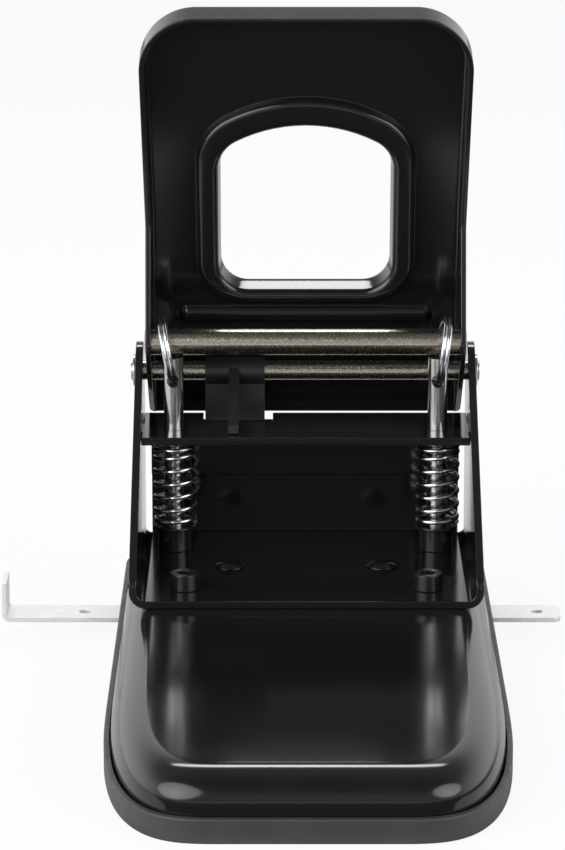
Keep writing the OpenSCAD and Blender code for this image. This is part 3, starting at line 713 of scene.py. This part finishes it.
def bead_rise(t):
    """Share of the bead's height from its edge, t = 0, to its crest, t = 1: a soft foot, then a round back."""
    foot = 3 * BEAD_FOOT ** 2 - 2 * BEAD_FOOT ** 3
    if t < BEAD_FOOT:
        return 3 * t * t - 2 * t ** 3
    return foot + (1 - foot) * (1 - ((1 - t) / (1 - BEAD_FOOT)) ** 2)


def make_handle():
    """The pressed handle: bent outline, drawn rim and bead, with the flat panel filled between them."""
    bm = bmesh.new()

    def vert(x, u, v):
        return bm.verts.new(in_handle(x, u, v) * MM)

    def strips(rows, closed):
        for a, b in zip(rows, rows[1:]):
            for i in range(len(a) if closed else len(a) - 1):
                j = (i + 1) % len(a)
                bm.faces.new((a[i], a[j], b[j], b[i]))

    path = handle_path()
    sections = [bend_section(flange_front(u)) for _, u, _, _ in path]
    rows = [
        [vert(x + nx * s[j][0], u + nu * s[j][0], s[j][1]) for (x, u, nx, nu), s in zip(path, sections)]
        for j in range(len(sections[0]))
    ]
    strips(rows, False)
    rim = [[vert(x, u, v) for x, u in hand_hole(grow)] for grow, v in rim_section()]
    strips(rim, True)
    bead = [[vert(x, u, panel_mid) for x, u in bead_outline(BEAD_HALF + FLAT_HEM)]]
    for i in range(BEAD_STEPS + 1):
        t = i / BEAD_STEPS
        rise = BEAD_HEIGHT * bead_rise(t)
        half = BEAD_HALF * (1 - t) + BEAD_TIP
        bead.append([vert(x, u, panel_mid + rise) for x, u in bead_outline(half)])
    strips(bead, True)
    bm.faces.new(bead[-1])
    edges = []
    for loop in (rows[0], rim[0], bead[0]):
        for i in range(len(loop)):
            a, b = loop[i], loop[(i + 1) % len(loop)]
            edges.append(bm.edges.get((a, b)) or bm.edges.new((a, b)))
    bmesh.ops.triangle_fill(bm, use_beauty=True, use_dissolve=False, edges=edges)
    bmesh.ops.remove_doubles(bm, verts=bm.verts, dist=SLIVER * MM)
    bmesh.ops.recalc_face_normals(bm, faces=bm.faces)
    sheet = add_object("handle_sheet", mesh_from(bm, "handle_sheet"))
    solid = sheet.modifiers.new("sheet", "SOLIDIFY")
    solid.thickness = HANDLE_SHEET * MM
    solid.offset = 0.0
    solid.use_even_offset = True
    apply_modifiers(sheet)
    settle(sheet, "handle_lever", "black_paint", bevel=HANDLE_EDGE, sharp=HANDLE_SHARP)


def make_shaft():
    """The press shaft with its ends peened over the ears."""
    low, high = box_mm("press_shaft")
    radius = (high.z - low.z) / 2
    end = [(ear_half + past, share) for past, share in SHAFT_END]
    profile = [(-x, r) for x, r in reversed(end)] + end
    verts = []
    for x, r in profile:
        for k in range(SHAFT_SIDES):
            a = 2 * math.pi * k / SHAFT_SIDES
            verts.append((x, shaft.y + r * radius * math.cos(a), shaft.z + r * radius * math.sin(a)))
    faces = ring_faces(SHAFT_SIDES, len(profile))
    last = (len(profile) - 1) * SHAFT_SIDES
    faces += [tuple(range(SHAFT_SIDES)), tuple(range(last, last + SHAFT_SIDES))]
    make_piece("press_shaft_peened", verts, faces, "press_shaft", "nickel_rod")


# Springs and rings

def make_spring(side):
    """A wound spring with a close turn at each end, squeezed by its pin's slide."""
    node = f"return_spring_{side}"
    low, high = box_mm(node)
    centre = (low + high) / 2
    radius = (high.x - low.x - SPRING_WIRE) / 2
    closed = SPRING_WIRE + SPRING_GAP
    height = high.z - low.z - SPRING_WIRE
    pitch = (height - 2 * closed) / (SPRING_TURNS - 2)
    path = []
    for i in range(SPRING_TURNS * SPRING_STEPS + 1):
        t = i / SPRING_STEPS
        z = closed * min(t, 1.0) + pitch * min(max(t - 1.0, 0.0), SPRING_TURNS - 2)
        z += closed * max(t - SPRING_TURNS + 1, 0.0)
        a = 2 * math.pi * t
        place = Vector((radius * math.cos(a), radius * math.sin(a), low.z + SPRING_WIRE / 2 + z))
        path.append(place + Vector((centre.x, centre.y, 0.0)))
    verts, faces = tube(path, SPRING_WIRE / 2)
    spring = make_piece(f"spring_{side}", verts, faces, node, "zinc_wire")
    apply_modifiers(spring)
    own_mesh(spring)


def make_ring(side, sign):
    """A split ring of nearly two turns through a pin's cross hole, tilted outwards by the sign."""
    node = f"lift_ring_{side}"
    pin = middle_mm(f"punch_pin_{side}")
    tilt = math.radians(RING_TILT) * sign
    hole_z = box_mm(f"punch_pin_{side}")[1].z - PIN_HOLE_DOWN
    up = Vector((math.sin(tilt), 0.0, math.cos(tilt)))
    across = Vector((math.cos(tilt), 0.0, -math.sin(tilt)))
    back = Vector((0.0, 1.0, 0.0))
    centre = Vector((pin.x, 0.0, hole_z)) + up * RING_RISE
    path = []
    for i in range(int(RING_TURNS * RING_STEPS) + 1):
        a = 2 * math.pi * i / RING_STEPS + RING_START
        along = RING_PITCH * (i / RING_STEPS - RING_TURNS / 2)
        path.append(centre + RING_RADIUS * (math.cos(a) * up + math.sin(a) * back) - along * across)
    verts, faces = tube(path, RING_WIRE / 2)
    make_piece(f"split_ring_{side}", verts, faces, node, "zinc_wire")


# Pieces that keep the CAD form, with broken edges

def dress(node, slot, edge):
    """A copy of a CAD node with its flat faces merged and its edges broken."""
    bm = bmesh.new()
    bm.from_mesh(nodes[node].data)
    sliver = FRAME_SLIVER if node == "u_frame" else SLIVER
    bmesh.ops.remove_doubles(bm, verts=bm.verts, dist=sliver * MM)
    bmesh.ops.dissolve_limit(bm, angle_limit=math.radians(FLAT_ANGLE), verts=bm.verts, edges=bm.edges)
    name = f"{node}_finish"
    settle(add_object(name, mesh_from(bm, name)), node, slot, bevel=edge, sharp=NODE_SHARP)


make_cover()
make_tray()
make_handle()
make_shaft()
for side, sign in (("left", -1), ("right", 1)):
    make_spring(side)
    make_ring(side, sign)
slots = {part["node"]: part["material_slot"] for part in frame["record"]["subparts"]}
for node, edge in EDGES.items():
    dress(node, slots[node], edge)


# Studio

def seen_directly(tree):
    """1 for rays from the camera, straight or through something clear, and 0 for reflections and light."""
    rays = tree.nodes.new("ShaderNodeLightPath")
    seen = tree.nodes.new("ShaderNodeMath")
    seen.operation = "MAXIMUM"
    tree.links.new(rays.outputs["Is Camera Ray"], seen.inputs[0])
    tree.links.new(rays.outputs["Is Transmission Ray"], seen.inputs[1])
    return seen.outputs[0]


def mix_shaders(tree, share, first, second, out):
    """Send a mix of two shaders to an output node's surface."""
    mix = tree.nodes.new("ShaderNodeMixShader")
    tree.links.new(share, mix.inputs["Fac"])
    tree.links.new(first.outputs[0], mix.inputs[1])
    tree.links.new(second.outputs[0], mix.inputs[2])
    tree.links.new(mix.outputs[0], out.inputs["Surface"])


def flat_sheet(name, left, right, front, rear, z):
    """A level rectangle of the stage, in metres."""
    mesh = bpy.data.meshes.new(name)
    corners = [(left, front, z), (right, front, z), (right, rear, z), (left, rear, z)]
    mesh.from_pydata(corners, [], [(0, 1, 2, 3)])
    sheet = add_object(name, mesh)
    return sheet


def make_floor():
    """Pale floor: white to the camera, softly lit so that it keeps a faint shadow."""
    floor = flat_sheet("floor", -FLOOR_REACH, FLOOR_REACH, -FLOOR_REACH, FLOOR_REACH, 0)
    material = bpy.data.materials.new("floor")
    material.use_nodes = True
    tree = material.node_tree
    tree.nodes.clear()
    out = tree.nodes.new("ShaderNodeOutputMaterial")
    matte = tree.nodes.new("ShaderNodeBsdfDiffuse")
    matte.inputs["Color"].default_value = (FLOOR_GREY, FLOOR_GREY, FLOOR_GREY, 1.0)
    glow = tree.nodes.new("ShaderNodeEmission")
    glow.inputs["Color"].default_value = (1.0, 1.0, 1.0, 1.0)
    share = tree.nodes.new("ShaderNodeMath")
    share.operation = "MULTIPLY"
    share.inputs[1].default_value = FLOOR_GLOW
    tree.links.new(seen_directly(tree), share.inputs[0])
    mix_shaders(tree, share.outputs[0], matte, glow, out)
    floor.data.materials.append(material)


def make_world():
    """White behind the object and to the sides, a dim room in front and above."""
    world = bpy.data.worlds.new("studio")
    bpy.context.scene.world = world
    world.use_nodes = True
    tree = world.node_tree
    tree.nodes.clear()
    out = tree.nodes.new("ShaderNodeOutputWorld")
    place = tree.nodes.new("ShaderNodeTexCoord")
    split = tree.nodes.new("ShaderNodeSeparateXYZ")
    tree.links.new(place.outputs["Generated"], split.inputs[0])

    def ramp(axis, start, stop, first, last):
        node = tree.nodes.new("ShaderNodeMapRange")
        node.interpolation_type = "SMOOTHSTEP"
        for key, value in (("From Min", start), ("From Max", stop), ("To Min", first), ("To Max", last)):
            node.inputs[key].default_value = value
        tree.links.new(split.outputs[axis], node.inputs["Value"])
        return node.outputs[0]

    def combine(operation, a, b):
        node = tree.nodes.new("ShaderNodeMath")
        node.operation = operation
        tree.links.new(a, node.inputs[0])
        tree.links.new(b, node.inputs[1])
        return node.outputs[0]

    depth = ramp("Y", start=-0.3, stop=0.3, first=0.4, last=1.0)
    left = ramp("X", start=-0.95, stop=-0.25, first=0.7, last=0.0)
    right = ramp("X", start=0.25, stop=0.95, first=0.0, last=0.4)
    height = ramp("Z", start=0.25, stop=0.72, first=1.0, last=0.25)
    level = combine("MULTIPLY", combine("ADD", depth, combine("ADD", left, right)), height)
    room = tree.nodes.new("ShaderNodeBackground")
    tree.links.new(level, room.inputs["Strength"])
    white = tree.nodes.new("ShaderNodeBackground")
    white.inputs["Strength"].default_value = 1.0
    for shade in (room, white):
        shade.inputs["Color"].default_value = (1.0, 1.0, 1.0, 1.0)
    mix_shaders(tree, seen_directly(tree), room, white, out)


def make_reflection_card(name, left, right, front, rear):
    """Black card on the floor, seen only in reflections: a painted dark reflection of the floor in front on the handle
    and the pins.
    """
    card = flat_sheet(name, left, right, front, rear, CARD_LIFT)
    card.visible_camera = False
    card.visible_diffuse = False
    card.visible_shadow = False
    material, _, _ = new_material(name, (CARD_GREY, CARD_GREY, CARD_GREY), CARD_ROUGHNESS)
    card.data.materials.append(material)


def soft_box(name, place, size, power):
    """An oval lamp that faces the object, place and size in metres, power in watts."""
    lamp = bpy.data.lights.new(name, "AREA")
    lamp.shape = "ELLIPSE"
    lamp.spread = math.radians(LAMP_SPREAD)
    lamp.size, lamp.size_y = size
    lamp.energy = power
    holder = add_object(name, lamp)
    holder.location = place
    holder.rotation_euler = (Vector(LAMP_TARGET) - Vector(place)).to_track_quat("-Z", "Y").to_euler()


def make_camera():
    """The camera fitted to the photo, looking along +Y and down."""
    lens = bpy.data.cameras.new("camera")
    lens.sensor_fit = "AUTO"
    lens.sensor_width = SENSOR
    lens.lens = FOCAL_PIXELS / FRAME_PIXELS * SENSOR
    lens.clip_start, lens.clip_end = CLIP
    camera = add_object("camera", lens)
    camera.location = Vector(CAMERA_PLACE) * MM
    camera.rotation_euler = (math.radians(90 - CAMERA_PITCH), 0.0, 0.0)
    bpy.context.scene.camera = camera


make_floor()
# Painted dark reflections: cards that only glossy rays see, in front of the base and to its right
make_reflection_card("front_card", left=-0.25, right=0.25, front=-0.33, rear=-0.202)
make_reflection_card("right_card", left=0.12, right=0.7, front=-0.5, rear=0.02)
make_world()
soft_box("back_light", place=(0.0, 0.84, 1.16), size=(1.0, 0.28), power=2.4)
soft_box("left_light", place=(-1.1, -1.1, 0.8), size=(2.2, 1.6), power=13.0)
soft_box("right_light", place=(1.2, -0.9, 0.7), size=(1.5, 1.1), power=5.0)
make_camera()
bpy.context.scene.view_settings.view_transform = "Standard"
